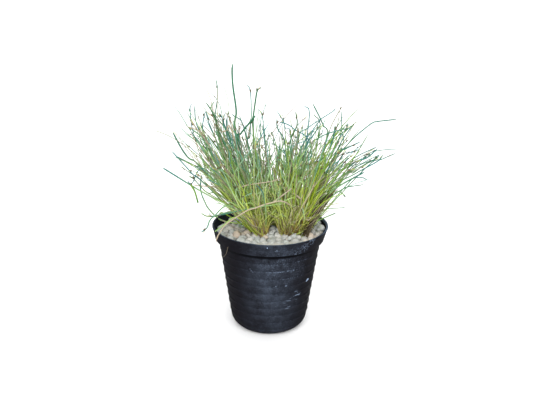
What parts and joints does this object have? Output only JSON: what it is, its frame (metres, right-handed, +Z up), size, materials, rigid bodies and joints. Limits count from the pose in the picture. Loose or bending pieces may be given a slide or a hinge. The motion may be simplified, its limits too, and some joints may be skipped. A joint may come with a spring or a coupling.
{
  "type": "potted fiber optic grass",
  "caption": "Tussock of fine arching sedge stems with small brown spikelets, in a tapered black nursery pot topped with pale pebbles.",
  "frame": {"origin": "centre of the pot's flat base, on the surface that it stands on", "axes": "+Z up along the pot's axis, +X to the right and -Y towards the viewer in the picture"},
  "size_m": [0.295, 0.228, 0.345],
  "materials": {
    "black_plastic": "satin",
    "potting_soil": "matte",
    "pale_pebbles": "matte",
    "root_mat": "matte",
    "green_stems": "satin",
    "dry_straw": "matte"
  },
  "bodies": {
    "root": {"back_stem": "green_stems", "bent_top_stem": "green_stems", "dry_stem": "dry_straw", "front_stem": "green_stems", "gravel": "pale_pebbles", "left_high_stem": "green_stems", "left_low_stem": "green_stems", "left_rim_stem": "green_stems", "pot": "black_plastic", "right_kinked_stem": "green_stems", "right_low_stem": "green_stems", "right_rim_stem": "green_stems", "root_crown": "root_mat", "soil": "potting_soil", "tall_spikelet_stem": "green_stems", "tall_stem": "green_stems", "tuft_01": "green_stems", "tuft_02": "green_stems", "tuft_03": "green_stems", "tuft_04": "green_stems", "tuft_05": "green_stems", "tuft_06": "green_stems", "tuft_07": "green_stems", "tuft_08": "green_stems", "tuft_09": "green_stems", "tuft_10": "green_stems", "tuft_11": "green_stems", "tuft_12": "green_stems", "tuft_13": "green_stems", "tuft_14": "green_stems", "tuft_15": "green_stems", "tuft_16": "green_stems", "tuft_17": "green_stems", "tuft_18": "green_stems", "tuft_19": "green_stems"}
  },
  "joints": []
}
